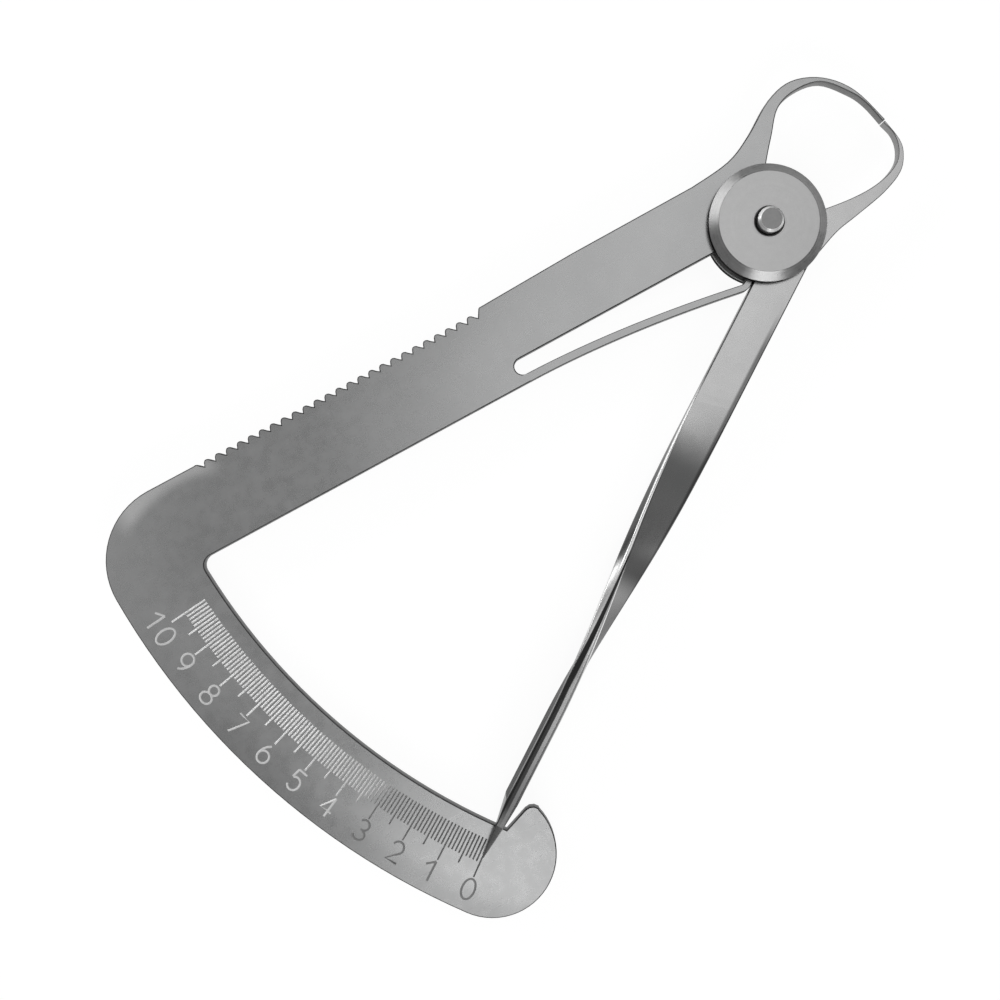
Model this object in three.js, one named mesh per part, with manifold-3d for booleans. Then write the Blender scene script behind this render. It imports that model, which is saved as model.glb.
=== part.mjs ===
// Crown gauge: a sprung thickness caliper made of two flat plates that turn on one pin.
// Millimetres. The pin's axis is at the origin, the beam runs along -X and +Z faces the reader
// of the scale. The back of the rear disc lies at height zero.
import * as THREE from 'three';
import { mergeVertices } from 'three/addons/utils/BufferGeometryUtils.js';
import Module from 'manifold-3d';

const wasm = await Module();
wasm.setup();

// Stack of discs and plates
const plateThickness = 1.5;
const discThickness = 1.7;
const discRadius = 6.85;
const discBevelWidth = 1.05;
const discBevelDrop = 0.8;
const runningGap = 0.05;

// Pivot pin and the holes that it passes through
const pinRadius = 1.5;
const pinChamfer = 0.3;
const pinStandOut = 1.2;
const pinHoleGap = 0.05;
const holeCountersink = 0.22;

// Half-lapped hub of the two plates
const hubRadius = 6.3;
const hubRimGap = 0.3;

// Jaws: the tips meet at jawReach from the pin and open by openingWidth
const jawReach = 18.1;
const openingWidth = 10;
const jawMeetingDegrees = 12.85;
const jawTipGap = 0.1;
const jawTipStagger = 0.04;
const fixedTipWidth = 0.38;
const movingTipWidth = 0.3;

// Curved scale at the far end of the beam
const scaleInnerRadius = 76.65;
const scaleWidth = 10.7;
const tenMarkDegrees = 5.28;
const headRadius = 7.5;
const headPastZeroLength = 0.9;
const flankPastZeroLength = 1.3;
const noseTurnDegrees = 14;
const noseTipRadius = 1.2;
const innerCornerRadius = 1.3;
const outerCornerRadius = 9.2;

// Beam between the hub and the scale
const beamTopAtHub = 7.95;
const beamTopAtBend = 7.83;
const beamBendDistance = 21.5;
const beamTopAtShoulder = 7.45;
const beamTopAtCorner = 7.1;
const beamUnderCorner = 2.95;
const jawRootStart = 5.5;
const slotEndDistance = 32.75;
const slotWidth = 1.95;

// Grip teeth on the top edge of the beam
const toothPitch = 1.45;
const toothDepth = 0.65;
const gripStartDistance = 34.65;
const gripEndGap = 5.6;
const gripShoulderLength = 0.6;

// Pointer arm, measured from the foot of the pin's perpendicular on the arm
const armLeftOffset = 1.75;
const armWidth = 4.8;
const jawJoinDistance = 2.2;
const twistStart = 19;
const twistEnd = 63;
const armEdgeRadius = 0.15;
const bladeEdgeRadius = 0.35;
const bladeRoundingEnd = 31;
const stopGap = 0.1;

// Point of the blade, which passes over the scale
const pointOverlap = 3.85;
const pointClearance = 0.3;
const pointHeight = 0.35;
const pointThickness = 0.16;
const bladeSideGap = 0.3;
const undercutLength = 3.0;

// Spring finger between the beam and the pointer arm
const fingerTipWidth = 0.8;
const fingerGap = 0.1;
const fingerEndDegrees = 10.4;
const toeRadius = 1.1;
const toeTurnDegrees = 50;
const toeLength = 0.45;
const toeDistance = 7.1;

// Steel finishes
const plateSteel = { color: 0xa3a4a4, roughness: 0.42, metalness: 1 };
const discSteel = { color: 0x9b9c9c, roughness: 0.36, metalness: 1 };
const pinSteel = { color: 0x8a8b8b, roughness: 0.3, metalness: 1 };

// Heights of the stack
const plateBottom = discThickness + runningGap;
const plateTop = plateBottom + plateThickness;
const plateMiddle = (plateBottom + plateTop) / 2;
const frontDiscBottom = plateTop + runningGap;
const frontDiscTop = frontDiscBottom + discThickness;
const pinTop = frontDiscTop + pinStandOut;
const holeRadius = pinRadius + pinHoleGap;
const lapRadius = hubRadius + hubRimGap;

// Directions. An angle below the beam is measured from -X towards -Y.
const radians = THREE.MathUtils.degToRad;
const belowBeam = (angle) => Math.PI + angle;
const fullSwing = 2 * Math.asin(openingWidth / 2 / jawReach);
const zeroAngle = radians(tenMarkDegrees) + fullSwing;
const flankAngle = zeroAngle + flankPastZeroLength / scaleInnerRadius;
const scaleOuterRadius = scaleInnerRadius + scaleWidth;
const pointRadius = scaleInnerRadius + pointOverlap;
const armOffset = armLeftOffset + armWidth / 2;
const armAngle = zeroAngle - Math.asin(armOffset / pointRadius);
const armLength = Math.sqrt(pointRadius ** 2 - armOffset ** 2);
const alongArm = new THREE.Vector2(-Math.cos(armAngle), -Math.sin(armAngle));
const acrossArm = new THREE.Vector2(Math.sin(armAngle), -Math.cos(armAngle));

// The underside of the beam is where the arm's left edge comes to rest at full opening
const stopAngle = armAngle - fullSwing;
const beamUnderSlot = armLeftOffset / Math.cos(stopAngle)
  + slotEndDistance * Math.tan(stopAngle) - stopGap;

// Outer corner, where the scale's rim turns into the grip edge, and the teeth that fit beside it
const outerDrop = outerCornerRadius - beamTopAtCorner;
const outerAngle = Math.asin(outerDrop / (scaleOuterRadius - outerCornerRadius));
const outerCornerDistance = Math.sqrt((scaleOuterRadius - outerCornerRadius) ** 2 - outerDrop ** 2);
const gripLength = outerCornerDistance - gripEndGap - gripStartDistance;
const toothCount = Math.floor(gripLength / toothPitch);

const arcStep = radians(1.5);
const cornerSteps = 3;
const roundSteps = 96;
const curveSteps = 5;
const edgeSteps = 6;

const at = (x, y) => new THREE.Vector2(x, y);
const polar = (radius, angle) => at(radius * Math.cos(angle), radius * Math.sin(angle));
const share = (from, to, amount) => from + (to - from) * amount;
const clampedShare = (value, from, to) => THREE.MathUtils.clamp((value - from) / (to - from), 0, 1);
const easedShare = (value, from, to) => THREE.MathUtils.smoothstep(value, from, to);
const shapeOf = (points) => new THREE.Shape(points);

// Points along a circular arc, ends included
function arc(centre, radius, from, to, step = arcStep) {
  const count = Math.max(cornerSteps, Math.ceil(Math.abs(to - from) / step));
  return Array.from({ length: count + 1 }, (_, i) => (
    polar(radius, share(from, to, i / count)).add(centre)));
}

// A rounding of the given radius between two straight sides that meet at a corner
function roundedCorner(before, corner, after, radius) {
  const inward = before.clone().sub(corner).normalize();
  const outward = after.clone().sub(corner).normalize();
  const halfAngle = Math.acos(inward.dot(outward)) / 2;
  const bisector = inward.clone().add(outward).normalize();
  const centre = corner.clone().addScaledVector(bisector, radius / Math.sin(halfAngle));
  const reach = radius / Math.tan(halfAngle);
  const first = corner.clone().addScaledVector(inward, reach).sub(centre);
  const last = corner.clone().addScaledVector(outward, reach).sub(centre);
  const turn = Math.atan2(first.cross(last), first.dot(last));
  return arc(centre, radius, first.angle(), first.angle() + turn, Math.abs(turn) / cornerSteps);
}

const smoothCurve = (points) => (
  new THREE.SplineCurve(points).getPoints(curveSteps * (points.length - 1)));
const jawPoints = (shares) => shares.map(([x, y]) => at(x * jawReach, y * jawReach));

// A closed mesh as a solid for cutting and joining
function solidFrom(geometry) {
  geometry.deleteAttribute('normal');
  geometry.deleteAttribute('uv');
  const merged = mergeVertices(geometry);
  return new wasm.Manifold(new wasm.Mesh({
    numProp: 3,
    vertProperties: new Float32Array(merged.attributes.position.array),
    triVerts: new Uint32Array(merged.index.array),
  }));
}

function geometryFrom(solid) {
  const { vertProperties, triVerts } = solid.getMesh();
  const geometry = new THREE.BufferGeometry();
  geometry.setAttribute('position', new THREE.BufferAttribute(vertProperties, 3));
  geometry.setIndex(new THREE.BufferAttribute(triVerts, 1));
  geometry.computeVertexNormals();
  return geometry;
}

// A flat outline raised between two heights
function slab(points, bottom, top) {
  const geometry = new THREE.ExtrudeGeometry(shapeOf(points), {
    depth: top - bottom,
    bevelEnabled: false,
  });
  return geometry.translate(0, 0, bottom);
}

const round = (radius, bottom, top) => (
  solidFrom(slab(arc(at(0, 0), radius, 0, 2 * Math.PI, 2 * Math.PI / roundSteps).slice(1), bottom, top)));

// A closed profile of [radius, height] pairs turned about the pin's axis
function turned(profile) {
  const points = profile.map(([radius, height]) => at(radius, height));
  return new THREE.LatheGeometry(points, roundSteps).rotateX(Math.PI / 2);
}

// A closed body through a row of rings with equal counts of points
function loft(rings) {
  const count = rings[0].length;
  const positions = rings.flat();
  const indices = [];
  for (let i = 0; i < rings.length - 1; i += 1) {
    for (let j = 0; j < count; j += 1) {
      const a = i * count + j;
      const b = i * count + (j + 1) % count;
      indices.push(a, b, b + count, a, b + count, a + count);
    }
  }
  const last = (rings.length - 1) * count;
  for (let j = 1; j < count - 1; j += 1) {
    indices.push(0, j + 1, j);
    indices.push(last, last + j, last + j + 1);
  }
  const geometry = new THREE.BufferGeometry().setFromPoints(positions);
  geometry.setIndex(indices);
  return geometry;
}

// Fixed jaw, from the beam round to the tip and back to the hub, as shares of the jaw's reach
const fixedOuterShares = [
  [-0.028, 0.47], [0.171, 0.558], [0.389, 0.694], [0.58, 0.735], [0.772, 0.657], [0.915, 0.488],
];
const fixedInnerShares = [
  [0.938, 0.377], [0.879, 0.491], [0.748, 0.636], [0.577, 0.667], [0.425, 0.622], [0.305, 0.486],
  [0.193, 0.351], [0.121, 0.243],
];

// The square end of a jaw: its outer and inner corner, on one side of the meeting line
function jawTip(side, width) {
  const angle = radians(jawMeetingDegrees) + side * Math.asin(jawTipGap / 2 / jawReach);
  const inner = jawReach + side * jawTipStagger / 2;
  return [polar(inner + width, angle), polar(inner, angle)];
}

function fixedJawEdge() {
  const [tipOuter, tipInner] = jawTip(1, fixedTipWidth);
  const outer = [at(-jawRootStart, beamTopAtHub), ...jawPoints(fixedOuterShares), tipOuter];
  const inner = [tipInner, ...jawPoints(fixedInnerShares)];
  return [...smoothCurve(outer), ...smoothCurve(inner)];
}

// One grip tooth as shares of pitch and depth from its far foot: a steep flank, then crest and slope
const flankShares = [[0.02, 0], [0.12, 0.62]];
const crestShares = [[0.25, 0.95], [0.42, 1], [0.58, 0.86], [0.84, 0.3]];

function gripEdge() {
  const far = gripStartDistance + toothPitch * toothCount;
  const tooth = (shares, i) => shares.map(([x, y]) => (
    at(toothPitch * (i + x) - far, beamTopAtCorner - toothDepth * (1 - y))));
  const teeth = [...tooth(crestShares, 0)];
  for (let i = 1; i < toothCount; i += 1) {
    teeth.push(...tooth(flankShares, i), ...tooth(crestShares, i));
  }
  const root = at(-gripStartDistance, beamTopAtCorner - toothDepth);
  const shoulder = at(gripShoulderLength - gripStartDistance, beamTopAtShoulder);
  const bend = at(-beamBendDistance, beamTopAtBend);
  const rounding = roundedCorner(root, shoulder, bend, gripShoulderLength / 2);
  return [...teeth, root, ...rounding, bend];
}

// Round end of the scale with the nose that bounds the pointer's way
function headEdge() {
  const headAngle = zeroAngle + Math.asin(headPastZeroLength / (scaleOuterRadius - headRadius));
  const centre = polar(scaleOuterRadius - headRadius, belowBeam(headAngle));
  const flankFoot = polar(scaleInnerRadius, belowBeam(flankAngle));
  const noseAngle = headAngle - radians(noseTurnDegrees);
  const onHead = (angle) => polar(headRadius, angle).add(centre);
  const nose = onHead(noseAngle);
  const sideways = nose.clone().add(at(Math.sin(noseAngle), -Math.cos(noseAngle)));
  const rounding = roundedCorner(flankFoot, nose, sideways, noseTipRadius);
  const pastRounding = noseAngle - noseTipRadius / headRadius;
  const round = arc(centre, headRadius, pastRounding, headAngle - Math.PI, 4 * arcStep);
  return { headAngle, points: [...rounding, ...round] };
}

function scaleFrameOutline() {
  const slotRadius = slotWidth / 2;
  const slotEnd = arc(at(-slotEndDistance, -slotRadius), slotRadius, Math.PI / 2, 3 * Math.PI / 2, radians(15));
  const innerDrop = beamUnderCorner + innerCornerRadius;
  const innerAngle = Math.asin(innerDrop / (scaleInnerRadius - innerCornerRadius));
  const innerCentre = polar(scaleInnerRadius - innerCornerRadius, belowBeam(innerAngle));
  const origin = at(0, 0);
  const head = headEdge();
  return [
    origin,
    ...slotEnd,
    at(-slotEndDistance, -beamUnderSlot),
    ...arc(innerCentre, innerCornerRadius, Math.PI / 2, belowBeam(innerAngle), radians(15)),
    ...arc(origin, scaleInnerRadius, belowBeam(innerAngle), belowBeam(flankAngle)).slice(1),
    ...head.points,
    ...arc(origin, scaleOuterRadius, belowBeam(head.headAngle), belowBeam(outerAngle)).slice(1),
    ...arc(at(-outerCornerDistance, -outerDrop), outerCornerRadius, belowBeam(outerAngle), Math.PI / 2, 4 * arcStep).slice(1),
    ...gripEdge(),
    ...fixedJawEdge(),
  ];
}

// Each plate keeps one half of its thickness at the hub, where the two lie on each other
function lappedPlate(body, cutBottom, cutTop) {
  const hub = round(hubRadius, plateBottom, plateTop);
  const lap = round(lapRadius, cutBottom, cutTop);
  const hole = round(holeRadius, plateBottom - runningGap, plateTop + runningGap);
  return geometryFrom(body.add(hub).subtract(lap).subtract(hole));
}

function scaleFrame() {
  const plate = solidFrom(slab(scaleFrameOutline(), plateBottom, plateTop));
  return lappedPlate(plate, plateMiddle - runningGap / 2, plateTop + runningGap);
}

// Spring finger: it bows down from the end of the slot and turns up where it bears on the arm
function springFinger() {
  const rootWidth = beamUnderSlot - slotWidth;
  const endSlope = radians(-fingerEndDegrees);
  const toeOffset = armLeftOffset - fingerGap - toeRadius - fingerTipWidth / 2;
  const toeCentre = alongArm.clone().multiplyScalar(toeDistance).addScaledVector(acrossArm, toeOffset);
  const heading = (angle) => at(Math.cos(angle), Math.sin(angle));
  const leftOf = (angle) => at(-Math.sin(angle), Math.cos(angle));
  const bowEnd = toeCentre.clone().addScaledVector(leftOf(endSlope), -toeRadius);
  const root = at(-slotEndDistance, -slotWidth - rootWidth / 2);
  const run = bowEnd.x - root.x;
  const drop = bowEnd.y - root.y;
  const power = Math.tan(endSlope) * run / drop;
  const bowSteps = 16;
  const toeSteps = 5;
  const line = [];
  for (let i = 0; i < bowSteps; i += 1) {
    const u = i / bowSteps;
    const slope = i === 0 ? 0 : Math.atan(power * drop / run * u ** (power - 1));
    line.push({ place: at(root.x + run * u, root.y + drop * u ** power), slope });
  }
  for (let i = 0; i <= toeSteps; i += 1) {
    const slope = endSlope + radians(toeTurnDegrees) * i / toeSteps;
    line.push({ place: toeCentre.clone().addScaledVector(leftOf(slope), -toeRadius), slope });
  }
  const turnEnd = line.at(-1);
  const toe = turnEnd.place.clone().addScaledVector(heading(turnEnd.slope), toeLength);
  line.push({ place: toe, slope: turnEnd.slope });
  const halfWidth = (x) => share(rootWidth, fingerTipWidth, clampedShare(x, root.x, bowEnd.x)) / 2;
  const side = (sign) => line.map(({ place, slope }) => (
    place.clone().addScaledVector(leftOf(slope), sign * halfWidth(place.x))));
  return slab([...side(1), ...side(-1).reverse()], plateBottom, plateTop);
}

// Moving jaw, from the tip round to the arm and from the hub back to the tip, as shares of its reach
const movingOuterShares = [
  [1.017, 0.072], [0.994, -0.025], [0.92, -0.116], [0.764, -0.182], [0.547, -0.227],
  [0.398, -0.254], [0.271, -0.298],
];
const movingInnerShares = [
  [0.254, -0.066], [0.385, -0.092], [0.563, -0.114], [0.714, -0.115], [0.844, -0.09],
  [0.938, -0.04], [0.988, 0.04], [0.999, 0.129],
];

const onArm = (distance, offset) => (
  alongArm.clone().multiplyScalar(distance).addScaledVector(acrossArm, offset));

function movingJawOutline() {
  const [tipOuter, tipInner] = jawTip(-1, movingTipWidth);
  const rightEdge = (distance, inset) => onArm(distance, armLeftOffset + armWidth - inset);
  const outer = [
    tipOuter,
    ...jawPoints(movingOuterShares),
    rightEdge(jawJoinDistance, 0),
    rightEdge(2 * jawJoinDistance, jawJoinDistance / 4),
  ];
  const inner = [...jawPoints(movingInnerShares), tipInner];
  return [...smoothCurve(outer), at(0, 0), ...smoothCurve(inner)];
}

// Cross-section of the arm at a distance along it: a rounded oblong that turns on its left edge's side
// and, past the twist, is cut away underneath so that the point passes over the scale
function armSection(distance) {
  const undercutEnd = scaleInnerRadius - 2 * bladeSideGap;
  const undercutStart = undercutEnd - undercutLength;
  const pointFloor = plateTop + pointClearance;
  const bottomCut = clampedShare(distance, undercutStart, undercutEnd);
  const topCut = clampedShare(distance, undercutEnd, armLength);
  const low = share(plateMiddle - armWidth / 2, pointFloor, bottomCut);
  const high = share(plateMiddle + armWidth / 2, pointFloor + pointHeight, topCut);
  const thinning = clampedShare(distance, undercutStart, armLength);
  const thickness = share(plateThickness, pointThickness, thinning);
  const halfWidth = (high - low) / 2;
  const halfThickness = thickness / 2;
  const rounding = easedShare(distance, twistStart, bladeRoundingEnd);
  const wantedRadius = share(armEdgeRadius, bladeEdgeRadius, rounding);
  const radius = wantedRadius * Math.min(1, thickness / plateThickness, (high - low) / armWidth);
  const twist = Math.PI / 2 * easedShare(distance, twistStart, twistEnd);
  const centre = at(armLeftOffset + armWidth / 2, (low + high) / 2);
  const corners = [[1, 1], [-1, 1], [-1, -1], [1, -1]];
  const ring = corners.flatMap(([x, y], quarter) => arc(
    at(x * (halfWidth - radius), y * (halfThickness - radius)),
    radius,
    quarter * Math.PI / 2,
    (quarter + 1) * Math.PI / 2,
    Math.PI / 2 / edgeSteps,
  ));
  return ring.map((corner) => {
    const turnedCorner = corner.rotateAround(at(0, 0), -twist).add(centre);
    const place = onArm(distance, turnedCorner.x);
    return new THREE.Vector3(place.x, place.y, turnedCorner.y);
  });
}

function pointerArm() {
  const twistSteps = 44;
  const bladeSteps = 4;
  const pointSteps = 12;
  const undercutStart = scaleInnerRadius - 2 * bladeSideGap - undercutLength;
  const stretch = (from, to, steps) => (
    Array.from({ length: steps }, (_, i) => share(from, to, i / steps)));
  const stations = [
    0,
    ...stretch(twistStart, twistEnd, twistSteps),
    ...stretch(twistEnd, undercutStart, bladeSteps),
    ...stretch(undercutStart, armLength, pointSteps),
    armLength,
  ];
  const arm = solidFrom(loft(stations.map(armSection)));
  const jaw = solidFrom(slab(movingJawOutline(), plateBottom, plateTop));
  return lappedPlate(arm.add(jaw), plateBottom - runningGap, plateMiddle + runningGap / 2);
}

// Cover disc with a ground bevel round its outer face
function discProfile(inner, outer) {
  const outward = Math.sign(outer - inner);
  return [
    [holeRadius, inner],
    [discRadius, inner],
    [discRadius, outer - outward * discBevelDrop],
    [discRadius - discBevelWidth, outer],
    [holeRadius + holeCountersink, outer],
    [holeRadius, outer - outward * holeCountersink],
    [holeRadius, inner],
  ];
}

const frontDisc = () => turned(discProfile(frontDiscBottom, frontDiscTop));
const rearDisc = () => turned(discProfile(discThickness, 0).reverse());

const pivotPin = () => turned([
  [0, 0],
  [pinRadius - pinChamfer, 0],
  [pinRadius, pinChamfer],
  [pinRadius, pinTop - pinChamfer],
  [pinRadius - pinChamfer, pinTop],
  [0, pinTop],
]);

const gauge = new THREE.Group();

function addPiece(name, geometry, finish) {
  const mesh = new THREE.Mesh(geometry, new THREE.MeshStandardMaterial(finish));
  mesh.name = name;
  gauge.add(mesh);
}

addPiece('scale_frame', scaleFrame(), plateSteel);
addPiece('spring_finger', springFinger(), plateSteel);
addPiece('pointer_arm', pointerArm(), plateSteel);
addPiece('front_disc', frontDisc(), discSteel);
addPiece('rear_disc', rearDisc(), discSteel);
addPiece('pivot_pin', pivotPin(), pinSteel);

export default gauge;
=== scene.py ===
import math

import bmesh
import bpy
import numpy as np
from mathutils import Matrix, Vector


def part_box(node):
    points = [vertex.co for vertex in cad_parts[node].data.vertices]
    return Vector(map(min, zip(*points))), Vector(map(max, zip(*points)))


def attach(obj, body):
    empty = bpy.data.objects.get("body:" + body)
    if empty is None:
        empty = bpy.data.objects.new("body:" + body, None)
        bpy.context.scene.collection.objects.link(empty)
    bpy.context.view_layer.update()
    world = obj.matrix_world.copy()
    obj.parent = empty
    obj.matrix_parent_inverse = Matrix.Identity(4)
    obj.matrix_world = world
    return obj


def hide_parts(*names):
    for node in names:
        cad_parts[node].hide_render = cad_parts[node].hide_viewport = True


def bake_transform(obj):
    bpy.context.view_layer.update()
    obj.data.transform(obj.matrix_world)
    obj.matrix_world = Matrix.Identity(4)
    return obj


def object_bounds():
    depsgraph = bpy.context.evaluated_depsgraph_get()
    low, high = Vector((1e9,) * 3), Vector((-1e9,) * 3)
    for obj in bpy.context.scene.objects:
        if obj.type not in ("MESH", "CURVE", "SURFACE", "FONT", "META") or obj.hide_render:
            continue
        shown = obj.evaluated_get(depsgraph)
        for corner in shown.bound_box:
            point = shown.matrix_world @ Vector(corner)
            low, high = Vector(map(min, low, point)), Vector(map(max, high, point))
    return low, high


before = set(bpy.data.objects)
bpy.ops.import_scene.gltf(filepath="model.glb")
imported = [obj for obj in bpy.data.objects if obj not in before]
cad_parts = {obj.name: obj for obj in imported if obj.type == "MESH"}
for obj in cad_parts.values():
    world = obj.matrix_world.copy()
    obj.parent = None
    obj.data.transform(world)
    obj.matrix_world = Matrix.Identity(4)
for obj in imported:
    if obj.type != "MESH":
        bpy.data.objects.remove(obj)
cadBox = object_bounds()

mm = 0.001
print("frame loaded:", ", ".join(sorted(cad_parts)))


def nodeBox(node):
    # The box of a frame node, in millimetres
    low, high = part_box(node)
    return np.array(low) / mm, np.array(high) / mm


def addObject(name, data, materials=()):
    # A new object in the scene, its materials in the order of their slots
    for material in materials:
        data.materials.append(material)
    added = bpy.data.objects.new(name, data)
    bpy.context.scene.collection.objects.link(added)
    return added


plateLow, plateHigh = nodeBox("scale_frame")
pinLow, pinHigh = nodeBox("pivot_pin")
plateTop = plateHigh[2]

# The picture is taken straight down on the gauge, with the beam lying aslant in it
view = {
    "aim": (-42.5, -13.4),          # point of the gauge under the lens, mm
    "distance": 140.0,              # lens to plate, mm
    "turn": 28.5,                   # the picture's up, from +Y towards +X, degrees
    "width": 116.3,                 # what the picture spans at the plate, mm
    "nearest": 2.0,                 # nothing closer to the lens is drawn, mm
}
viewUp = Vector((math.sin(math.radians(view["turn"])), math.cos(math.radians(view["turn"])), 0))
viewRight = Vector((viewUp.y, -viewUp.x, 0))
viewAim = Vector((*view["aim"], plateTop))


def inPicture(right, up, height):
    # A place given from the point under the lens: to the picture's right, to its top, and above the plate
    return (viewAim + viewRight * right + viewUp * up + Vector((0, 0, height))) * mm


def makeCamera():
    camera = addObject("camera", bpy.data.cameras.new("camera"))
    camera.location = inPicture(0, 0, view["distance"])
    camera.rotation_euler = (0, 0, -math.radians(view["turn"]))
    camera.data.lens = camera.data.sensor_width * view["distance"] / view["width"]
    camera.data.clip_start = view["nearest"] * mm
    bpy.context.scene.camera = camera


makeCamera()
print("camera set")


# Noise: how fine its detail is for broad, fine and hairline patterns, the mean of its values, and over
# what step a hairline sets in
noiseLook = {"broad": 3.0, "fine": 2.0, "hairline": 1.0, "roughness": 0.5, "mean": 0.5, "edge": 0.06}


# A socket in an expression: the operators below add Math nodes to its tree
class Wire:
    def __init__(self, owner, socket):
        self.owner = owner
        self.socket = socket

    def math(self, operation, *values):
        return self.owner.node("ShaderNodeMath", {"operation": operation}, dict(enumerate(values)))

    def __add__(self, other):
        return self.math("ADD", self, other)

    def __radd__(self, other):
        return self.math("ADD", other, self)

    def __sub__(self, other):
        return self.math("SUBTRACT", self, other)

    def __rsub__(self, other):
        return self.math("SUBTRACT", other, self)

    def __mul__(self, other):
        return self.math("MULTIPLY", self, other)

    def __truediv__(self, other):
        return self.math("DIVIDE", self, other)

    def atMost(self, other):
        return self.math("MINIMUM", self, other)

    def atLeast(self, other):
        return self.math("MAXIMUM", self, other)

    def above(self, low, high):
        # 0 under low, 1 over high and smooth between them
        settings = {"interpolation_type": "SMOOTHSTEP"}
        return self.owner.node("ShaderNodeMapRange", settings, {0: self, 1: low, 2: high})

    def spread(self, share):
        # A share of how far a noise is from its mean
        return (self - noiseLook["mean"]) * share


# The nodes of a material or of the world: node() adds one, and feed() links or sets a socket
class Nodes:
    def __init__(self, owner):
        owner.use_nodes = True
        self.tree = owner.node_tree

    def feed(self, socket, value):
        if isinstance(value, Wire):
            self.tree.links.new(value.socket, socket)
        else:
            socket.default_value = value

    def node(self, kind, settings=None, inputs=None, output=0):
        made = self.tree.nodes.new(kind)
        for name, value in (settings or {}).items():
            setattr(made, name, value)
        for name, value in (inputs or {}).items():
            self.feed(made.inputs[name], value)
        return Wire(self, made.outputs[output])

    def place(self, kind="Object"):
        return self.node("ShaderNodeTexCoord", output=kind)

    def axis(self, place, letter):
        # One coordinate of a place, in millimetres
        return self.node("ShaderNodeSeparateXYZ", None, {0: place}, output=letter) / mm

    def reach(self, place, centre=(0, 0, 0)):
        # Millimetres from a place to a point, which is the pin's foot unless another is named
        inputs = {0: place, 1: tuple(v * mm for v in centre)}
        return self.node("ShaderNodeVectorMath", {"operation": "DISTANCE"}, inputs, output="Value") / mm

    def noise(self, place, size, kind="broad"):
        # Noise whose features are about size millimetres wide
        inputs = {"Vector": place, "Scale": 1 / (size * mm), "Detail": noiseLook[kind],
                  "Roughness": noiseLook["roughness"]}
        return self.node("ShaderNodeTexNoise", None, inputs)

    def hairlines(self, place, turn, width, length, threshold):
        # Fine straight scratches that run along one direction: noise stretched length to width
        inputs = {"Vector": place, "Rotation": (0, 0, math.radians(turn)), "Scale": (width / length, 1, 1)}
        along = self.node("ShaderNodeMapping", {"vector_type": "POINT"}, inputs)
        return self.noise(along, width, "hairline").above(threshold, threshold + noiseLook["edge"])

    def mix(self, amount, first, second):
        first, second = (c if isinstance(c, Wire) else (*c, 1) for c in (first, second))
        return self.node("ShaderNodeMix", {"data_type": "RGBA"}, {0: amount, 6: first, 7: second}, output=2)

    def fades(self, along, colour, steps):
        # A colour that turns into the next one over each stretch of the way
        for start, end, nextColour in steps:
            colour = self.mix(along.above(start, end), colour, nextColour)
        return colour


# One steel finish: a Principled shader whose colour, roughness and bumps vary
class Finish(Nodes):
    def __init__(self, name, **fixed):
        self.material = bpy.data.materials.new(name)
        super().__init__(self.material)
        self.shader = self.tree.nodes["Principled BSDF"]
        for socket, value in fixed.items():
            self.shader.inputs[socket.replace("_", " ")].default_value = value

    def surface(self, colour, roughness, height=None, depth=0.0):
        # The height is in units of depth, which is in millimetres
        self.feed(self.shader.inputs["Base Color"], colour)
        self.feed(self.shader.inputs["Roughness"], roughness)
        if height is not None:
            inputs = {"Strength": 1.0, "Distance": depth * mm, "Height": height}
            self.feed(self.shader.inputs["Normal"], self.node("ShaderNodeBump", None, inputs))
        return self.material


def grey(tone):
    return (tone, tone, tone)


# Pointer arm: where it lies, and where its strip turns into the upright blade, in millimetres
blade = {
    "zeroDegrees": 37.35, "pointRadius": 80.5, "leftOffset": 1.75, "width": 4.8, "thickness": 1.5,
    "twistStart": 19, "twistEnd": 63, "stripStart": 7.5, "sideDepth": 0.004,
}
armMiddle = blade["leftOffset"] + blade["width"] / 2
armAngle = math.radians(blade["zeroDegrees"]) - math.asin(armMiddle / blade["pointRadius"])
alongArm = np.array([-math.cos(armAngle), -math.sin(armAngle), 0])
acrossArm = np.array([math.sin(armAngle), -math.cos(armAngle), 0])

# Satin steel: its scratches (direction, width, length, threshold), and what each pattern adds to its tone,
# its roughness and its height
satin = {
    "longScratches": (62, 0.07, 9.0, 0.7), "shortScratches": (-21, 0.06, 6.0, 0.72),
    "cloudTone": 0.45, "patchTone": 0.3, "grainTone": 0.25, "scratchTone": 0.06, "contrast": (0.3, 0.72),
    "patchSheen": 0.12, "grainSheen": 0.06, "scratchSheen": 0.04,
    "patchHeight": 0.6, "grainHeight": 0.35, "scratchHeight": 0.2,
}


def satinSteel(name, look, shade=None):
    # Fine-blasted steel: slow clouds, small patches, a fine grain and a few hairline scratches
    finish = Finish(name, Metallic=1.0, Specular_Tint=(*look["rim"], 1))
    place = finish.place()
    clouds = finish.noise(place, look["cloud"])
    patches = finish.noise(place, look["patch"])
    grain = finish.noise(place, look["grain"], "fine")
    scratches = (finish.hairlines(place, *satin["longScratches"])
                 + finish.hairlines(place, *satin["shortScratches"]))
    tone = (clouds * satin["cloudTone"] + patches * satin["patchTone"] + grain * satin["grainTone"]
            + scratches * satin["scratchTone"])
    colour = finish.mix(tone.above(*satin["contrast"]), look["dark"], look["light"])
    if shade:
        colour = shade(finish, colour, look)
    roughness = (look["roughness"] + patches.spread(satin["patchSheen"]) + grain.spread(satin["grainSheen"])
                 - scratches * satin["scratchSheen"])
    height = (grain * satin["grainHeight"] + patches * satin["patchHeight"]
              - scratches * satin["scratchHeight"])
    return finish.surface(colour, roughness, height, look["depth"])


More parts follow.
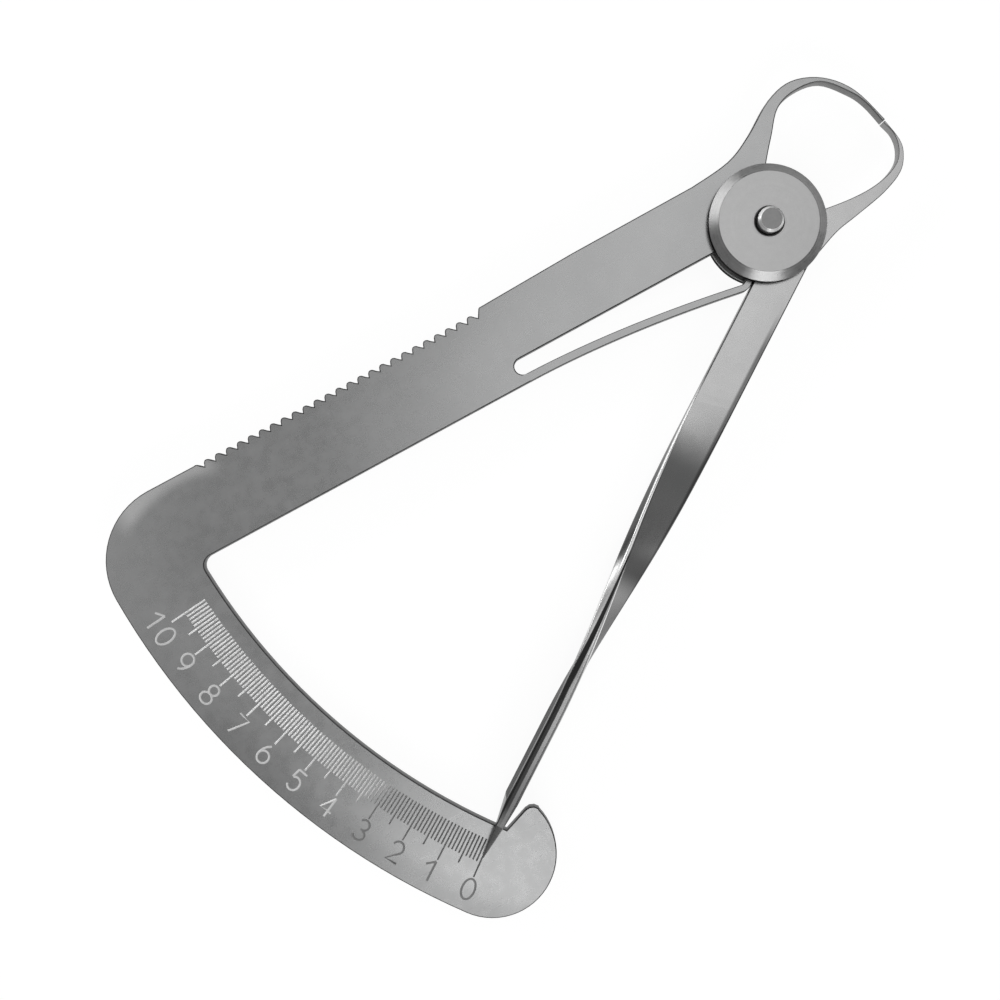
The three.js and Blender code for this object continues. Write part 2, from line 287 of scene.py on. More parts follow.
# Sawn steel: its file marks as the scratches above, and what marks and patches add
sawn = {
    "fileMarks": (90, 0.05, 2.5, 0.5), "patchTone": 0.7, "markTone": 0.3, "contrast": (0.25, 0.75),
    "patchSheen": 0.2, "markHeight": 0.5,
}


def sawnSteel(name, look):
    # Cut and filed walls with fine file marks across the thickness of the plate; their dark tone is partly
    # the filed finish and partly painted shade. On the frame and the pointer they turn lighter towards the
    # jaws, which is painted light
    finish = Finish(name, Metallic=1.0, Specular_Tint=(*look["rim"], 1))
    place = finish.place()
    fileMarks = finish.hairlines(place, *sawn["fileMarks"])
    patches = finish.noise(place, look["patch"])
    tone = patches * sawn["patchTone"] + fileMarks * sawn["markTone"]
    colour = finish.mix(tone.above(*sawn["contrast"]), look["dark"], look["light"])
    if "jaw" in look:
        colour = finish.mix(finish.axis(place, "X").above(*look["jawFrom"]), colour, look["jaw"])
    roughness = look["roughness"] + patches.spread(sawn["patchSheen"])
    return finish.surface(colour, roughness, fileMarks * sawn["markHeight"] + patches, look["depth"])


# Turned steel: what rings, patches and grain add; a look's "rings" is their share of the tone
lathe = {
    "grainTone": 0.25, "contrast": (0.3, 0.7), "ringSheen": 0.12, "patchSheen": 0.1,
    "ringHeight": 2, "grainHeight": 0.4,
}


def turnedSteel(name, look):
    # Steel finished on a lathe: noise over the radius alone makes rings, which patches and grain break up
    finish = Finish(name, Metallic=1.0)
    place = finish.place()
    inputs = {"W": finish.reach(place), "Scale": 1 / look["ring"], "Detail": noiseLook["fine"]}
    rings = finish.node("ShaderNodeTexNoise", {"noise_dimensions": "1D"}, inputs)
    patches = finish.noise(place, look["patch"])
    grain = finish.noise(place, look["grain"], "fine")
    patchTone = 1 - lathe["grainTone"] - look["rings"]
    tone = rings * look["rings"] + patches * patchTone + grain * lathe["grainTone"]
    colour = finish.mix(tone.above(*lathe["contrast"]), look["dark"], look["light"])
    roughness = look["roughness"] + rings.spread(lathe["ringSheen"]) + patches.spread(lathe["patchSheen"])
    height = rings * look["rings"] * lathe["ringHeight"] + grain * lathe["grainHeight"]
    return finish.surface(colour, roughness, height, look["depth"])


def scaleWay(finish):
    # Millimetres down the scale, which runs from the ten mark towards -Y to the zero mark
    return 0 - finish.axis(finish.place(), "Y")


def markSteel(name, look):
    # The scale's grooves: their tone changes on the way from the ten mark to the zero mark, painted light
    # and shade in place of how their walls catch the light
    finish = Finish(name, Metallic=1.0)
    patches = finish.noise(finish.place(), look["patch"])
    tone = finish.fades(scaleWay(finish), look["tone"], look["fades"])
    colour = finish.mix(patches * look["mottle"], tone, look["dark"])
    return finish.surface(colour, look["roughness"] + patches.spread(look["sheen"]))


def plateShade(finish, colour, look):
    # Painted light and shade: the scale is painted lighter along its inner side and darkened along its
    # outer rim, and a painted highlight, a lighter band, follows the frame's outer corner
    place = finish.place()
    way = scaleWay(finish)
    outside = finish.reach(place).above(*look["rimFrom"])
    paler = way.above(*look["palerFrom"]) * (1 - outside) * look["paler"]
    darker = way.above(*look["darkerFrom"]) * outside * look["darker"]
    colour = finish.mix(darker, finish.mix(paler, colour, grey(1)), grey(0))
    nearHighlight = 1 - finish.reach(place, look["highlightAt"]).above(*look["highlightReach"])
    cornerHighlight = finish.reach(place, look["bend"]).above(*look["highlightFrom"]) * nearHighlight
    return finish.mix(cornerHighlight, colour, look["cornerHighlight"])


def bladePlace(finish):
    # Millimetres along the arm from the foot of the pin's perpendicular, and the edge way that the
    # pointer's mesh carries: from the left edge's lower border up the wall and on over the upper face
    inputs = {0: finish.place(), 1: tuple(alongArm / mm)}
    along = finish.node("ShaderNodeVectorMath", {"operation": "DOT_PRODUCT"}, inputs, output="Value")
    return along, finish.node("ShaderNodeAttribute", {"attribute_name": "edgeWay"}, output="Fac")


def faceShade(finish, colour, look):
    # Painted shade and light: the strip's upper face fades along the arm through the twist, its dark right
    # border is painted shade, and its lower face is painted dark
    along, way = bladePlace(finish)
    upper = finish.fades(along, colour, look["fades"])
    border = way.above(*look["border"]) * along.above(*look["stripStart"])
    upper = finish.mix(border * look["borderShare"], upper, look["shaded"])
    lower = (1 - way.above(*look["lowerBorder"])) * along.above(*look["lower"])
    return finish.mix(lower, upper, look["shaded"])


def bladeSteel(name, look):
    # The arm's polished edges, with painted highlights and shade: the wall, the crest over it, and a
    # black stripe, a painted reflection, that wanders over both from the upper border to the lower one as
    # the strip turns up
    finish = Finish(name, Metallic=1.0)
    along, way = bladePlace(finish)
    patches = finish.noise(finish.place(), look["patch"])
    wall = finish.fades(along, look["wall"], look["wallFades"])
    crest = finish.fades(along, look["wall"], look["crestFades"])
    shoulder = way.above(*look["shoulder"]) * (1 - along.above(*look["shoulderEnd"]))
    crest = finish.mix(shoulder, crest, look["wall"])
    drift = along - look["stripeStart"]
    border = (look["crestAt"] - drift.atLeast(0) * look["crestDrift"]).atLeast(look["crestEnd"])
    soft = (-look["soft"], look["soft"])
    colour = finish.mix((way - border).above(*soft), wall, crest)
    low = (look["stripeLow"] - drift * look["lowDrift"]).atLeast(0)
    high = (look["stripeHigh"] - drift * look["highDrift"]).atLeast(look["stripeEnd"])
    inside = (way - low).above(*soft) * (high - way).above(*soft)
    stripe = inside * drift.above(*look["stripeGrow"]) * (1 - along.above(*look["stripeStop"]))
    colour = finish.mix(stripe, colour, look["black"])
    colour = finish.mix(way.above(*look["crestStop"]), colour, look["wall"])
    return finish.surface(colour, look["roughness"] + patches.spread(look["sheen"]))


# Every finish's look. Sizes are in millimetres, and so are the stretches (from, to) over which a tone
# fades in: along the arm, across its edge, down the scale, from the pin or towards the jaws
plateLook = {
    "dark": (0.37, 0.372, 0.373), "light": (0.45, 0.452, 0.453), "roughness": 0.28,
    "cloud": 14.0, "patch": 1.6, "grain": 0.12, "depth": 0.004, "rim": grey(1),
    # The rest is painted light and shade: a corner highlight band, the scale lighter inside, darkened at
    # its rim
    "bend": (-74.7, -7.7, plateTop), "highlightFrom": (13.0, 14.7),
    "highlightAt": (-76.2, 6.2, plateTop), "highlightReach": (4.5, 8.0), "cornerHighlight": grey(0.68),
    "rimFrom": (83.0, 86.5), "palerFrom": (3, 9), "paler": 0.06, "darkerFrom": (5, 35), "darker": 0.14,
}
armLook = {
    "dark": grey(0.48), "light": grey(0.56), "roughness": 0.27,
    "cloud": 10.0, "patch": 1.2, "grain": 0.14, "depth": 0.003, "rim": grey(0.28),
    # The rest is painted shade and light along the arm; the dull rim tint above dims grazing reflections
    "shaded": grey(0.07), "stripStart": (7, 14), "border": (5.55, 5.9), "borderShare": 0.75,
    "lower": (48, 54), "lowerBorder": (-0.2, 0),
    "fades": [(22, 25.5, grey(0.64)), (25, 30, (0.28, 0.282, 0.282)), (31, 34.5, grey(0.32)),
              (37.5, 42, grey(0.11)), (43, 46.8, grey(0.41)), (48, 52, grey(0.48))],
}
wallLook = {
    # Dark tones: filed finish and painted shade; the jaw tone is painted light towards the jaws
    "dark": grey(0.05), "light": grey(0.12), "roughness": 0.42, "patch": 0.9, "depth": 0.004,
    "rim": grey(1), "jawFrom": (4.5, 7.5), "jaw": grey(0.17),
}
jawWallLook = {**wallLook, "jaw": grey(0.25)}
gapShadowLook = {
    # Nearly black: painted shadow on the covers' rims and hole walls
    "dark": grey(0.02), "light": grey(0.05), "roughness": 0.45, "patch": 0.9, "depth": 0.003,
    "rim": grey(0.35),
}
edgeLook = {
    # All tones here are painted highlights and shade, and the stripe is a painted reflection
    "wall": grey(0.11), "black": grey(0.045), "roughness": 0.28, "patch": 1.0, "sheen": 0.1, "soft": 0.06,
    "wallFades": [(41.6, 44.8, grey(0.82)), (50, 57.5, grey(0.27)), (70.5, 73.3, grey(0.07))],
    "crestFades": [(18, 24, grey(0.95)), (52, 57, grey(0.5)), (58, 74, grey(0.17))],
    "shoulder": (1.62, 1.78), "shoulderEnd": (40, 46),
    "crestAt": 1.18, "crestDrift": 0.06, "crestEnd": 0.3, "crestStop": (2.9, 3.0),
    "stripeStart": 40.0, "stripeGrow": (0, 2), "stripeStop": (73, 77), "stripeEnd": 0.72,
    "stripeLow": 1.68, "lowDrift": 0.095, "stripeHigh": 1.93, "highDrift": 0.066,
}
coverLook = {
    "dark": grey(0.45), "light": grey(0.52), "roughness": 0.32,
    "ring": 0.12, "rings": 0.12, "patch": 1.4, "grain": 0.12, "depth": 0.002,
}
bevelLook = {
    # Darker than the cover's face: painted shade on the bevel and the pin's side
    "dark": grey(0.30), "light": grey(0.42), "roughness": 0.3,
    "ring": 0.09, "rings": 0.4, "patch": 0.8, "grain": 0.1, "depth": 0.003,
}
# The pin's chamfer: a painted highlight, far lighter than the pin
chamferHighlightLook = {**bevelLook, "dark": grey(0.85), "light": grey(0.95), "rings": 0.1}
pinLook = {
    "dark": grey(0.21), "light": grey(0.27), "roughness": 0.3,
    "ring": 0.1, "rings": 0.3, "patch": 0.7, "grain": 0.09, "depth": 0.002,
}
tickLook = {
    # The fades down the scale are painted light and shade
    "tone": grey(0.56), "dark": grey(0.36), "roughness": 0.36, "patch": 0.5, "mottle": 0.25, "sheen": 0.1,
    "fades": [(12, 28, grey(0.74)), (35.5, 38, grey(0.28))],
}
strokeLook = {**tickLook, "tone": grey(0.95), "roughness": 0.5, "fades": [(36.8, 37.7, grey(0.28))]}

plateSteel = satinSteel("plateSteel", plateLook, plateShade)
armSteel = satinSteel("armSteel", armLook, faceShade)
wallSteel = sawnSteel("wallSteel", wallLook)
jawWallSteel = sawnSteel("jawWallSteel", jawWallLook)
gapShadowSteel = sawnSteel("gapShadowSteel", gapShadowLook)
tickSteel = markSteel("tickSteel", tickLook)
strokeSteel = markSteel("strokeSteel", strokeLook)
edgeSteel = bladeSteel("edgeSteel", edgeLook)
coverSteel = turnedSteel("coverSteel", coverLook)
bevelSteel = turnedSteel("bevelSteel", bevelLook)
pinSteel = turnedSteel("pinSteel", pinLook)
chamferHighlightSteel = turnedSteel("chamferHighlightSteel", chamferHighlightLook)

# The places of the finishes in a piece's list: on the plates, and on the turned pieces
faceSlot, wallSlot, tickSlot, strokeSlot = range(4)
plateMaterials = [plateSteel, wallSteel, tickSteel, strokeSteel]
armMaterials = [armSteel, jawWallSteel, edgeSteel]
edgeSlot = 2
flatSlot, slopeSlot, uprightSlot = range(3)
print("finishes made")

# How the frame's meshes are mended, rounded and smoothed: lengths in mm, angles in degrees, and the upright
# share of a face's normal from which it is flat, counts as a flat side's finish, or is no longer a wall
mend = {
    "weld": 0.0005, "coplanar": 0.05, "flat": 0.9995, "side": 0.97, "wall": 0.5,
    "roundSteps": 3, "roundProfile": 0.5, "crease": 40,
}


def copyOfNode(node):
    # The frame node's mesh in millimetres, with its loose triangles joined and flat faces made whole
    bm = bmesh.new()
    bm.from_mesh(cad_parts[node].data)
    bmesh.ops.scale(bm, vec=(1 / mm,) * 3, verts=bm.verts)
    bmesh.ops.remove_doubles(bm, verts=bm.verts, dist=mend["weld"])
    angle = math.radians(mend["coplanar"])
    bmesh.ops.dissolve_limit(bm, angle_limit=angle, verts=bm.verts, edges=bm.edges)
    bm.normal_update()
    return bm


def pointsOf(mesh):
    points = np.empty(len(mesh.vertices) * 3)
    mesh.vertices.foreach_get("co", points)
    return points.reshape(-1, 3)


def isFlat(face):
    return abs(face.normal.z) > mend["flat"]


def roundRims(bm, width, keep=None):
    # Every rim between a flat side and a wall gets a small rounding, apart from those that keep() names
    rims = [e for e in bm.edges if len(e.link_faces) == 2 and not (keep and keep(e))
            and sorted(isFlat(f) for f in e.link_faces) == [False, True]
            and min(abs(f.normal.z) for f in e.link_faces) < mend["wall"]]
    bmesh.ops.bevel(bm, geom=rims, offset=width, segments=mend["roundSteps"], profile=mend["roundProfile"],
                    affect="EDGES", offset_type="OFFSET", clamp_overlap=False, loop_slide=True)
    bm.normal_update()


def pieceFrom(bm, name, body, nodes, materials):
    # The finished mesh as a piece in metres, smooth but for its flat sides and sharp edges
    for face in bm.faces:
        face.smooth = not isFlat(face)
    for edge in bm.edges:
        flat = any(isFlat(f) for f in edge.link_faces)
        border = len({f.material_index for f in edge.link_faces}) > 1
        edge.smooth = not (flat or border or edge.calc_face_angle(0) > math.radians(mend["crease"]))
    bmesh.ops.scale(bm, vec=(mm,) * 3, verts=bm.verts)
    mesh = bpy.data.meshes.new(name)
    bm.to_mesh(mesh)
    loose = sum(len(e.link_faces) != 2 for e in bm.edges)
    bm.free()
    piece = addObject(name, mesh, materials)
    if body:
        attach(piece, body)
    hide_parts(*nodes)
    print(f"{name}: {len(mesh.polygons)} faces, {loose} open edges")
    return piece


# Engraved scale: ticks and numbers along two arcs round the pin, all lengths in mm. The cutters stand over
# the plate by the overrun, and what they leave closer together than the weld is joined
marks = {
    "tenDegrees": 5.28, "zeroDegrees": blade["zeroDegrees"], "wholes": 10, "perWhole": 10,
    "start": 78.5, "shortEnd": 81.35, "halfEnd": 82.4, "wholeEnd": 83.2,
    "numberRadius": 84.7, "height": 2.5, "width": 1.5, "pairSpacing": 2.0,
    "lineWidth": 0.2, "lineDepth": 0.065, "strokeWidth": 0.26, "strokeDepth": 0.045, "overrun": 0.02,
    "weld": 0.008,
}


def bow(x, y, across, up, start, end, count):
    # Part of an ellipse round (x, y), between two angles in degrees
    angle = np.radians(np.linspace(start, end, count))
    return np.column_stack([x + across * np.cos(angle), y + up * np.sin(angle)])


# Single-line numerals in a box one wide and one high, centred. A stroke meets only the one before or after
# it, so that those of one cutting layer, every other one, stay apart
numerals = {
    "0": [bow(0, 0, 0.5, 0.5, 0, 345, 24)],
    "1": [[(-0.65, 0.2), (0.0, 0.5)], [(0.0, 0.5), (0.0, -0.5)]],
    "2": [np.vstack([bow(0, 0.2, 0.46, 0.3, 165, -40, 14), [(-0.5, -0.5), (0.5, -0.5)]])],
    "3": [bow(0, 0.25, 0.42, 0.25, 150, -100, 12), bow(0, -0.25, 0.48, 0.25, 100, -155, 14)],
    "4": [[(0.5, -0.2), (-0.5, -0.2), (0.2, 0.5)], [(0.2, 0.5), (0.2, -0.5)]],
    "5": [[(0.42, 0.5), (-0.36, 0.5)], [(-0.36, 0.5), (-0.42, 0.06)],
          bow(-0.02, -0.17, 0.48, 0.33, 136, -150, 16)],
    "6": [bow(0, -0.2, 0.48, 0.3, 0, 345, 20), bow(0.4, -0.2, 0.88, 0.7, 178, 118, 8)],
    "7": [[(-0.5, 0.5), (0.5, 0.5), (-0.15, -0.5)]],
    "8": [bow(0, 0.26, 0.4, 0.24, 0, 345, 18), bow(0, -0.24, 0.5, 0.26, 0, 345, 20)],
    "9": [bow(0, 0.2, 0.48, 0.3, 0, 345, 20), bow(-0.4, 0.2, 0.88, 0.7, -2, -62, 8)],
}


def groove(path, width, depth, closed):
    # A V-shaped cutter along a flat path: left lip, right lip and bottom at each point, the lips over the
    # plate by the overrun and wider by as much as keeps the groove's width at the plate
    path = np.asarray(path, float)
    if closed:
        along = np.roll(path, -1, 0) - np.roll(path, 1, 0)
    else:
        along = np.gradient(path, axis=0)
    along /= np.linalg.norm(along, axis=1, keepdims=True)
    side = np.column_stack([-along[:, 1], along[:, 0]])
    half = width / 2 * (1 + marks["overrun"] / depth)
    lip = np.full(len(path), plateTop + marks["overrun"])
    bottom = np.full(len(path), plateTop - depth)
    rings = np.stack([
        np.column_stack([path + side * half, lip]),
        np.column_stack([path - side * half, lip]),
        np.column_stack([path, bottom]),
    ], axis=1)
    first = np.arange(len(path) if closed else len(path) - 1)[:, None] * 3
    corner = np.arange(3)[None, :]
    nextCorner = (corner + 1) % 3
    span = 3 * len(path)
    onward = (first + 3) % span
    faces = np.stack([first + corner, first + nextCorner, onward + nextCorner, onward + corner], -1)
    faces = faces.reshape(-1, 4).tolist()
    if not closed:
        faces += [[0, 2, 1], [span - 3, span - 2, span - 1]]
    return rings.reshape(-1, 3), faces


def markRay(value):
    # The direction from the pin to a value's mark; equal steps on the scale are equal angles
    share = 1 - value / marks["wholes"]
    angle = math.radians(marks["tenDegrees"] + share * (marks["zeroDegrees"] - marks["tenDegrees"]))
    return np.array([-math.cos(angle), -math.sin(angle)])


def tickPaths():
    # Radial lines from the inner arc outwards, longer at every half and whole millimetre
    for i in range(marks["wholes"] * marks["perWhole"] + 1):
        part = i % marks["perWhole"]
        kind = "whole" if part == 0 else "half" if part == marks["perWhole"] // 2 else "short"
        ray = markRay(i / marks["perWhole"])
        yield ray * marks["start"], ray * marks[kind + "End"]


def numberPaths(value):
    # The strokes of a number, its top towards the pin, set out on its own ray. A stroke whose ends nearly
    # meet is a closed ring
    ray = markRay(value)
    right = np.array([-ray[1], ray[0]])
    text = str(value)
    for i, digit in enumerate(text):
        shift = (i - (len(text) - 1) / 2) * marks["pairSpacing"]
        for layer, stroke in enumerate(numerals[digit]):
            x, y = np.asarray(stroke, float).T
            across = x * marks["width"] + shift
            path = np.outer(across, right) + np.outer(marks["numberRadius"] - y * marks["height"], ray)
            closed = np.linalg.norm(path[0] - path[-1]) < marks["width"] / 2
            yield layer % 2, path, closed


def cutterObject(layer):
    # All grooves of one layer as one mesh, the ticks with the first; no two of them touch
    parts = []
    if layer == 0:
        parts += [groove(path, marks["lineWidth"], marks["lineDepth"], False) for path in tickPaths()]
    tickFaces = sum(len(partFaces) for _, partFaces in parts)
    for value in range(marks["wholes"] + 1):
        parts += [groove(path, marks["strokeWidth"], marks["strokeDepth"], closed)
                  for own, path, closed in numberPaths(value) if own == layer]
    points, faces, offset = [], [], 0
    for partPoints, partFaces in parts:
        points.append(partPoints)
        faces += [[i + offset for i in face] for face in partFaces]
        offset += len(partPoints)
    mesh = bpy.data.meshes.new("cutter")
    mesh.from_pydata(np.vstack(points).tolist(), [], faces)
    bm = bmesh.new()
    bm.from_mesh(mesh)
    bmesh.ops.recalc_face_normals(bm, faces=bm.faces)
    for face in bm.faces:
        face.material_index = tickSlot if face.index < tickFaces else strokeSlot
    bm.to_mesh(mesh)
    bm.free()
    return addObject("cutter", mesh, plateMaterials)


def engrave(bm):
    # Cuts both layers of grooves out of the plate, still in millimetres
    for layer in (0, 1):
        mesh = bpy.data.meshes.new("plate")
        bm.to_mesh(mesh)
        bm.free()
        plate = addObject("plate", mesh, plateMaterials)
        cutter = cutterObject(layer)
        cut = plate.modifiers.new("cut", "BOOLEAN")
        cut.operation = "DIFFERENCE"
        cut.solver = "EXACT"
        cut.object = cutter
        bpy.context.view_layer.update()
        solved = plate.evaluated_get(bpy.context.evaluated_depsgraph_get()).to_mesh()
        bm = bmesh.new()
        bm.from_mesh(solved)
        for obj in (plate, cutter):
            bpy.data.objects.remove(obj)
    bmesh.ops.remove_doubles(bm, verts=bm.verts, dist=marks["weld"])
    bm.normal_update()
    return bm


# The rims' rounding in mm, how near the finger's root a rim stays sharp, and how the finger bends
rim = {"plate": 0.13, "arm": 0.1, "finger": 0.08, "rootReach": 0.2, "leafPower": 0.75}
fingerLow, fingerHigh = nodeBox("spring_finger")


def atFingerRoot(edge):
    # Finger and beam are one piece of steel there
    middle = (edge.verts[0].co + edge.verts[1].co) / 2
    return (abs(middle.x - fingerLow[0]) < rim["rootReach"]
            and fingerLow[1] - rim["rootReach"] < middle.y < fingerHigh[1] + rim["rootReach"])


def sideOrWall(face):
    return faceSlot if abs(face.normal.z) > mend["side"] else wallSlot


def roundedCopy(node, width):
    bm = copyOfNode(node)
    roundRims(bm, width, atFingerRoot)
    for face in bm.faces:
        face.material_index = sideOrWall(face)
    return bm


def makeScalePlate():
    bm = engrave(roundedCopy("scale_frame", rim["plate"]))
    pieceFrom(bm, "scale_plate", "frame", ["scale_frame"], plateMaterials)


def makeFinger():
    bm = roundedCopy("spring_finger", rim["finger"])
    return pieceFrom(bm, "leaf_finger", None, ["spring_finger"], [plateSteel, wallSteel])


def bendFinger(finger):
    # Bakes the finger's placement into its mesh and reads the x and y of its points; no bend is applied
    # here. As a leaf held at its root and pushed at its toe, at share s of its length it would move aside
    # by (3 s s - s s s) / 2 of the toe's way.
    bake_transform(finger)
    x, y, _ = pointsOf(finger.data).T


makeScalePlate()
bendFinger(makeFinger())


def armPlaces(points):
    # Distance along the arm, and the place in its section once the twist there is undone: the twist goes
    # from nothing to a quarter turn as smoothstep does, t t (3 - 2 t)
    along = points @ alongArm
    right = points @ acrossArm - armMiddle
    up = points[:, 2] - (plateLow[2] + plateHigh[2]) / 2
    t = np.clip((along - blade["twistStart"]) / (blade["twistEnd"] - blade["twistStart"]), 0, 1)
    twist = math.pi / 2 * t * t * (3 - 2 * t)
    return along, right * np.cos(twist) - up * np.sin(twist), right * np.sin(twist) + up * np.cos(twist)


def edgeWays(points):
    # Millimetres over the left edge, from its lower border: up the wall and on over the upper face. With
    # the strip's right and up each from -1 to 1 it is thickness (up + 1) / 2 + width (right + 1) / 2 up
    _, right, up = armPlaces(points)
    right = np.clip(right / (blade["width"] / 2), -1, 1)
    up = np.clip(up / (blade["thickness"] / 2), -1, 1)
    return blade["thickness"] / 2 * (up + 1) + blade["width"] / 2 * (right + 1) * up


def paintPointer(bm):
    # The strip's two faces, its edges, and the sawn walls of jaw and hub
    points = np.array([v.co for v in bm.verts])
    along, _, up = armPlaces(points)
    for face in bm.faces:
        own = [v.index for v in face.verts]
        if along[own].mean() < blade["stripStart"]:
            face.material_index = sideOrWall(face)
        else:
            onSide = np.abs(up[own]).min() > blade["thickness"] / 2 - blade["sideDepth"]
            face.material_index = faceSlot if onSide else edgeSlot


def makePointer():
    bm = copyOfNode("pointer_arm")
    roundRims(bm, rim["arm"])
    bm.verts.index_update()
    paintPointer(bm)
    piece = pieceFrom(bm, "pointer_blade", "pointer", ["pointer_arm"], armMaterials)
    ways = edgeWays(pointsOf(piece.data) / mm)
    carried = piece.data.attributes.new("edgeWay", "FLOAT", "POINT")
    carried.data.foreach_set("value", ways.astype(np.float32))


makePointer()

# Turned pieces on the pin, in mm. The last three are the upright share of a face's normal over which a
# cover's or the pin's face counts as flat, and under which it counts as upright
turned = {
    "steps": 144, "arcSteps": 4, "support": 0.04,
    "bevelWidth": 1.05, "bevelDrop": 0.8, "holeGap": 0.05, "countersink": 0.22, "edgeRound": 0.09,
    "pinChamfer": 0.3, "pinRound": 0.06, "pinMiddle": 0.04,
    "coverFlat": 0.93, "pinFlat": 0.9, "upright": 0.3,
}


def roundedProfile(corners, radius):
    # Each corner becomes an arc of the given radius, with a support point just before and after it
    corners = np.asarray(corners, float)
    points = []
    for before, corner, after in zip(np.roll(corners, 1, 0), corners, np.roll(corners, -1, 0)):
        back = (before - corner) / np.linalg.norm(before - corner)
        on = (after - corner) / np.linalg.norm(after - corner)
        half = math.acos(np.clip(back @ on, -1, 1)) / 2
        reach = radius / math.tan(half)
        middle = corner + (back + on) / np.linalg.norm(back + on) * radius / math.sin(half)
        first, last = corner + back * reach - middle, corner + on * reach - middle
        turn = math.atan2(first[0] * last[1] - first[1] * last[0], first @ last)
        start = math.atan2(first[1], first[0])
        angle = start + turn * np.linspace(0, 1, turned["arcSteps"] + 1)
        arc = middle + radius * np.column_stack([np.cos(angle), np.sin(angle)])
        away = reach + turned["support"]
        points += [corner + back * away, *arc, corner + on * away]
    return np.array(points)


def turnedPiece(profile, name, node, materials, flatness, solid=False):
    # The profile's points (radius, height) go once round the pin: x = r cos a, y = r sin a, z = h. The
    # profile of a solid piece ends in a flat face at top and bottom, any other one closes on itself
    radius, height = profile.T
    angle = np.linspace(0, 2 * math.pi, turned["steps"], endpoint=False)
    x = np.outer(radius, np.cos(angle))
    y = np.outer(radius, np.sin(angle))
    z = np.repeat(height[:, None], turned["steps"], 1)
    rows, columns = x.shape
    row = np.arange(rows - 1 if solid else rows)[:, None]
    column = np.arange(columns)[None, :]
    nextRow, nextColumn = (row + 1) % rows, (column + 1) % columns
    faces = np.stack([row * columns + column, row * columns + nextColumn,
                      nextRow * columns + nextColumn, nextRow * columns + column], -1)
    faces = faces.reshape(-1, 4).tolist()
    if solid:
        faces += [list(range(columns)), [(rows - 1) * columns + i for i in range(columns)]]
    mesh = bpy.data.meshes.new(name)
    mesh.from_pydata(np.stack([x, y, z], -1).reshape(-1, 3).tolist(), [], faces)
    bm = bmesh.new()
    bm.from_mesh(mesh)
    bmesh.ops.recalc_face_normals(bm, faces=bm.faces)
    for face in bm.faces:
        up = abs(face.normal.z)
        wallOrSlope = uprightSlot if up < turned["upright"] else slopeSlot
        face.material_index = flatSlot if up > flatness else wallOrSlope
        face.smooth = True
    bmesh.ops.scale(bm, vec=(mm,) * 3, verts=bm.verts)
    bm.to_mesh(mesh)
    bm.free()
    piece = addObject(name, mesh, materials)
    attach(piece, "frame")
    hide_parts(node)
    print(f"{name}: {len(mesh.polygons)} faces")


def makeCover(name, node, outward):
    # A disc with a bevelled rim and a countersunk hole, its bevel up for outward 1 and down for -1
    low, high = nodeBox(node)
    inner, outer = (low[2], high[2]) if outward > 0 else (high[2], low[2])
    radius = high[0]
    hole = pinHigh[0] + turned["holeGap"]
    profile = roundedProfile([
        (hole, inner), (radius, inner), (radius, outer - outward * turned["bevelDrop"]),
        (radius - turned["bevelWidth"], outer), (hole + turned["countersink"], outer),
        (hole, outer - outward * turned["countersink"]),
    ], turned["edgeRound"])
    finishes = [coverSteel, bevelSteel, gapShadowSteel]
    turnedPiece(profile, name, node, finishes, turned["coverFlat"])


def makePin():
    # A plain pin with chamfered ends. Its profile stops just short of the middle, and the rounding of those
    # two end points, an arc with its support points each, is left out
    chamfer = turned["pinChamfer"]
    radius = pinHigh[0]
    middle = turned["pinMiddle"]
    corners = [(middle, pinLow[2]), (radius - chamfer, pinLow[2]), (radius, pinLow[2] + chamfer),
               (radius, pinHigh[2] - chamfer), (radius - chamfer, pinHigh[2]), (middle, pinHigh[2])]
    rounded = roundedProfile(corners, turned["pinRound"])
    endPoints = turned["arcSteps"] + 3
    profile = np.vstack([corners[0], rounded[endPoints:-endPoints], corners[-1]])
    finishes = [pinSteel, chamferHighlightSteel, bevelSteel]
    turnedPiece(profile, "pivot_stud", "pivot_pin", finishes, turned["pinFlat"], solid=True)


makeCover("front_cover", "front_disc", 1)
makeCover("rear_cover", "rear_disc", -1)
makePin()

# Floor: radius in metres, its colour and roughness, how much of its own white shows and how bright, and the
# gap under the gauge in mm
floorLook = {
    "radius": 2.5, "sides": 96, "colour": (*grey(0.86), 1), "roughness": 0.9, "glow": 0.8, "white": 1.14,
    "gap": 0.02,
}


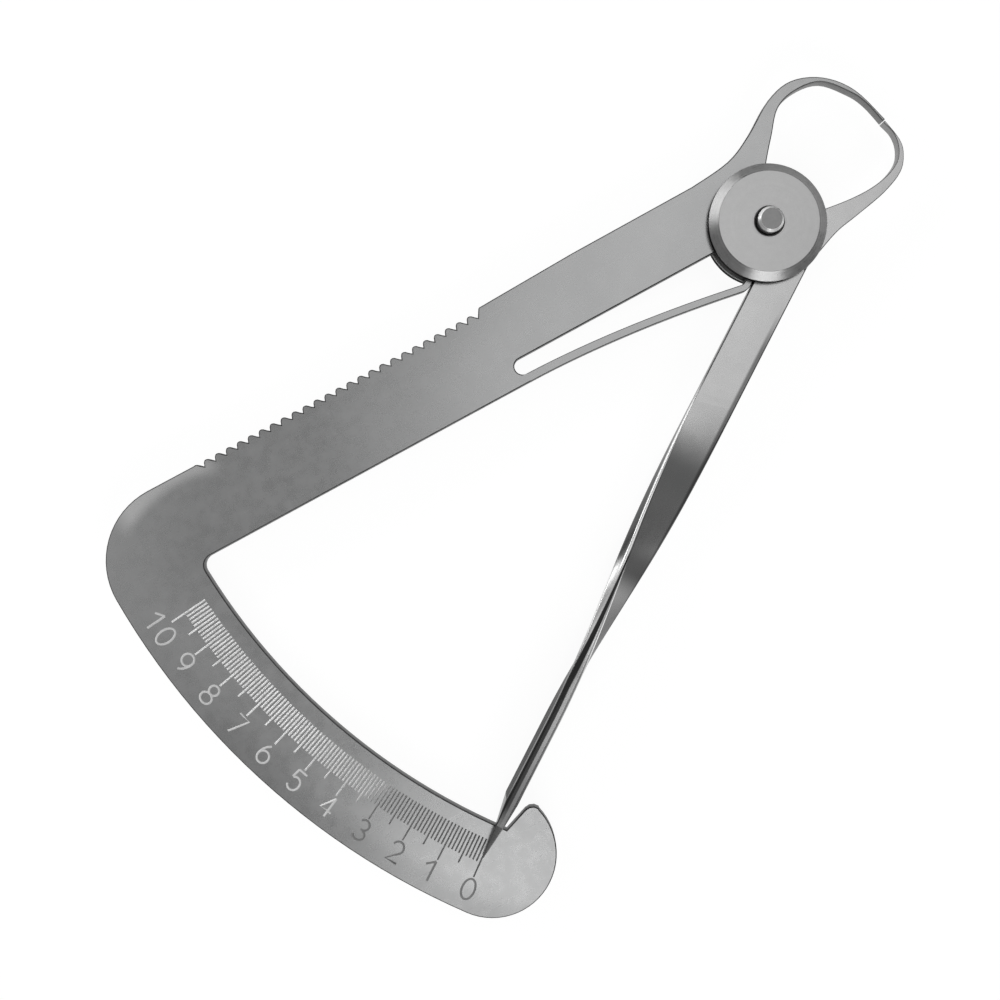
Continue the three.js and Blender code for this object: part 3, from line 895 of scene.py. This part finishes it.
def makeFloor():
    # A pale round floor; what the lens and the steel see of it is mostly its own white
    mesh = bpy.data.meshes.new("floor")
    bm = bmesh.new()
    bmesh.ops.create_circle(bm, cap_ends=True, segments=floorLook["sides"], radius=floorLook["radius"])
    bm.to_mesh(mesh)
    bm.free()
    finish = Finish("floorPaint", Base_Color=floorLook["colour"], Roughness=floorLook["roughness"])
    seen, glossy, through = (finish.node("ShaderNodeLightPath", output=ray)
                             for ray in ("Is Camera Ray", "Is Glossy Ray", "Is Transmission Ray"))
    white = finish.node("ShaderNodeEmission", None, {"Strength": floorLook["white"]}, output="Emission")
    shader = Wire(finish, finish.shader.outputs[0])
    amount = (seen + glossy + through).atMost(1) * floorLook["glow"]
    mixed = finish.node("ShaderNodeMixShader", None, {0: amount, 1: shader, 2: white})
    finish.feed(finish.tree.nodes["Material Output"].inputs["Surface"], mixed)
    floor = addObject("floor", mesh, [finish.material])
    floor.location = (*[v * mm for v in view["aim"]], cadBox[0].z - floorLook["gap"] * mm)


makeFloor()

# Soft boxes: place in the picture (right, up, height) in mm, size in mm, radiance where 1 is white.
# Those with a turn face straight down, turned by it from the picture's right; the others face the pin.
softBoxes = {
    "upperBox": {"at": (92, 120, 450), "size": (180, 320), "turn": -30, "radiance": 0.88},
    "lowerBox": {"at": (-3, -200, 450), "size": (100, 190), "turn": -30, "radiance": 1.7},
    "leftBox": {"at": (-240, 0, 450), "size": (110, 420), "turn": 0, "radiance": 0.45},
    "leftStrip": {"at": (-258, 288, 140), "size": (440, 90), "turn": None, "radiance": 2.9},
    "bottomStrip": {"at": (96, -320, 190), "size": (260, 80), "turn": None, "radiance": 3.6},
}
pinPlace = Vector((0, 0, plateTop)) * mm


def makeLights():
    for name, box in softBoxes.items():
        data = bpy.data.lights.new(name, "AREA")
        data.shape = "RECTANGLE"
        data.size, data.size_y = (side * mm for side in box["size"])
        data.energy = box["radiance"] * math.pi * data.size * data.size_y    # radiance is power / (pi area)
        light = addObject(name, data)
        light.location = inPicture(*box["at"])
        if box["turn"] is None:
            light.rotation_euler = (pinPlace - light.location).to_track_quat("-Z", "Y").to_euler()
        else:
            light.rotation_euler = (0, 0, math.radians(box["turn"] - view["turn"]))
        light.visible_camera = False


skyLook = {"low": grey(0.25), "high": grey(0.34)}


def makeWorld():
    # A studio that is a little paler overhead than round the horizon
    world = bpy.data.worlds.new("studio")
    bpy.context.scene.world = world
    nodes = Nodes(world)
    height = nodes.node("ShaderNodeSeparateXYZ", None, {0: nodes.place("Generated")}, output="Z")
    tone = nodes.mix(height.above(0, 1), skyLook["low"], skyLook["high"])
    nodes.feed(nodes.tree.nodes["Background"].inputs["Color"], tone)


makeLights()
makeWorld()
bpy.context.scene.view_settings.view_transform = "Standard"
print("studio set")
